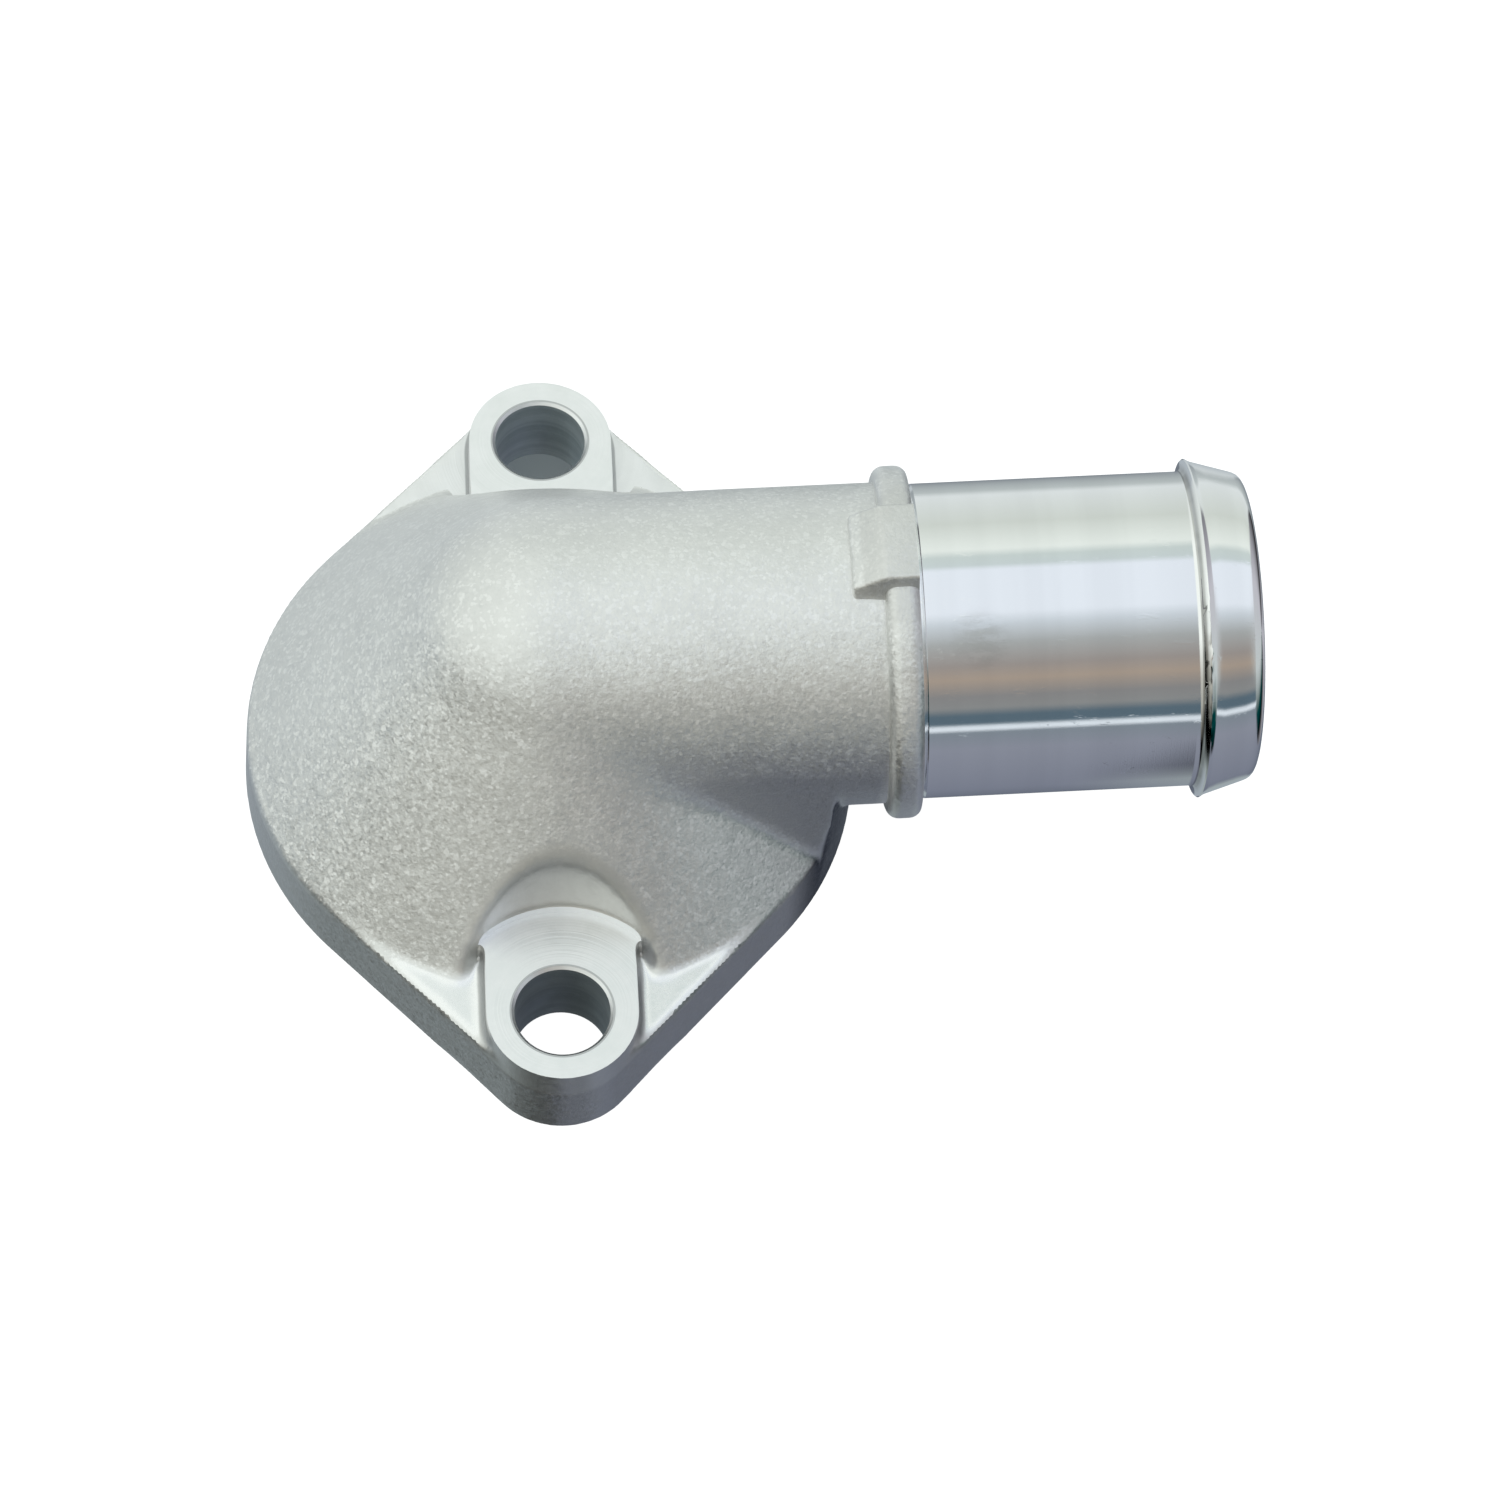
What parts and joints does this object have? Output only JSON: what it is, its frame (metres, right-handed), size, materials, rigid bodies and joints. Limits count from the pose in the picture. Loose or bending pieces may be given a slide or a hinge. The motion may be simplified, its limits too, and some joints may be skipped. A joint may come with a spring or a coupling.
{
  "type": "thermostat housing",
  "caption": "Cast aluminium coolant outlet: a hollow dome on a two-bolt flange, with a side tube tilted by 3 degrees, a collar with a stop lug and a turned hose spigot with a barbed end.",
  "frame": {"origin": "centre of the flange's mounting face, midway between the two bolt holes", "axes": "+Z out of the mounting face towards the dome, +X to the side of the hose spigot, which is tilted 3 degrees towards +Z, bolt holes on the Y axis"},
  "size_m": [0.0967, 0.0802, 0.0383],
  "materials": {
    "cast_aluminium": "blasted casting with machined faces"
  },
  "bodies": {
    "root": {"housing": "cast_aluminium"}
  },
  "joints": []
}
